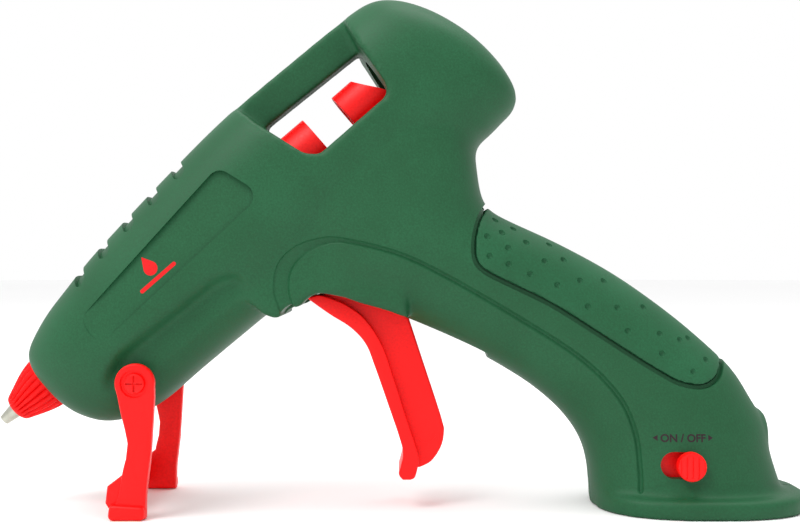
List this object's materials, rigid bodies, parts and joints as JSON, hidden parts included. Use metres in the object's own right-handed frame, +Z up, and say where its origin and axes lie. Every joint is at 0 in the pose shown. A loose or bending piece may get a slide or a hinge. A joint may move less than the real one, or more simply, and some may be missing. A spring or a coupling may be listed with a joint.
{
  "type": "glue gun",
  "caption": "Hot melt glue gun with a tilted barrel, side window, hinged trigger, fold-away front stand and a handle with a flat oval foot.",
  "frame": {"origin": "bottom centre of the bounding box, on the surface that the gun stands on", "axes": "+Z up, -X towards the nozzle, +X towards the handle foot, Y across the gun with -Y on its left side, where the switch is"},
  "size_m": [0.2232, 0.049, 0.1402],
  "materials": {
    "green_housing": "fine textured moulded nylon",
    "green_grip": "textured moulded grip pad with small pits",
    "red_plastic": "satin moulded plastic",
    "red_silicone": "matt moulded silicone",
    "nozzle_steel": "turned, nickel plated",
    "cast_aluminium": "die cast",
    "zinc_steel": "zinc plated",
    "spring_steel": "drawn wire and strip",
    "mica": "mica sheet",
    "ptc_ceramic": "sintered",
    "black_plastic": "moulded",
    "black_rubber": "moulded"
  },
  "bodies": {
    "housing": {"housing_left": "green_housing", "housing_right": "green_housing", "grip_pad": "green_grip", "nozzle": "nozzle_steel", "nozzle_cap": "red_silicone", "melt_chamber": "cast_aluminium", "ptc_heater": "ptc_ceramic", "heater_insulator": "mica", "heater_clip": "spring_steel", "inlet_sleeve": "red_plastic", "sleeve_clamp": "spring_steel", "return_spring": "spring_steel", "trigger_pin": "zinc_steel", "stand_screw_left": "red_plastic", "stand_screw_right": "red_plastic", "switch_body": "black_plastic", "cord_inlet_grommet": "black_rubber", "housing_screw_1": "zinc_steel", "housing_screw_2": "zinc_steel", "housing_screw_3": "zinc_steel", "housing_screw_4": "zinc_steel", "housing_screw_5": "zinc_steel", "housing_screw_6": "zinc_steel"},
    "trigger": {"trigger": "red_plastic", "link_pin": "zinc_steel"},
    "link": {"feed_link": "black_plastic"},
    "carriage": {"feed_carriage": "red_plastic", "gripper_pin": "zinc_steel"},
    "gripper": {"gripper": "zinc_steel", "bite_pin": "zinc_steel"},
    "stand": {"stand": "red_plastic"},
    "switch": {"switch_slider": "red_plastic"}
  },
  "joints": [
    {"name": "trigger_pull", "type": "hinge", "parent": "housing", "child": "trigger", "pos_m": [-0.0172, 0, 0.06239], "axis": [0, -1, 0], "range_deg": [0, 24], "stiffness_Nm_per_rad": 0.3, "springref_deg": -14.32},
    {"name": "link_turn", "type": "hinge", "parent": "trigger", "child": "link", "pos_m": [-0.02579, 0, 0.07775], "axis": [0, 1, 0], "range_deg": [0, 24.01]},
    {"name": "carriage_feed", "type": "slide", "parent": "housing", "child": "carriage", "axis": [-0.7524, 0, -0.6587], "range_m": [0, 0.00733]},
    {"name": "gripper_bite", "type": "hinge", "parent": "carriage", "child": "gripper", "pos_m": [-0.00073, 0, 0.10552], "axis": [0, -1, 0], "range_deg": [-8.01, 0]},
    {"name": "stand_fold", "type": "hinge", "parent": "housing", "child": "stand", "pos_m": [-0.06944, 0, 0.03553], "axis": [0, -1, 0], "range_deg": [0, 122]},
    {"name": "switch_slide", "type": "slide", "parent": "housing", "child": "switch", "axis": [-1, 0, 0], "range_m": [0, 0.0038]}
  ],
  "couplings": [
    {"joint": "link_turn", "follows": "trigger_pull", "ratio": 1},
    {"joint": "carriage_feed", "follows": "trigger_pull", "m_per_rad": 0.017472},
    {"joint": "gripper_bite", "follows": "trigger_pull", "ratio": -0.33333}
  ]
}
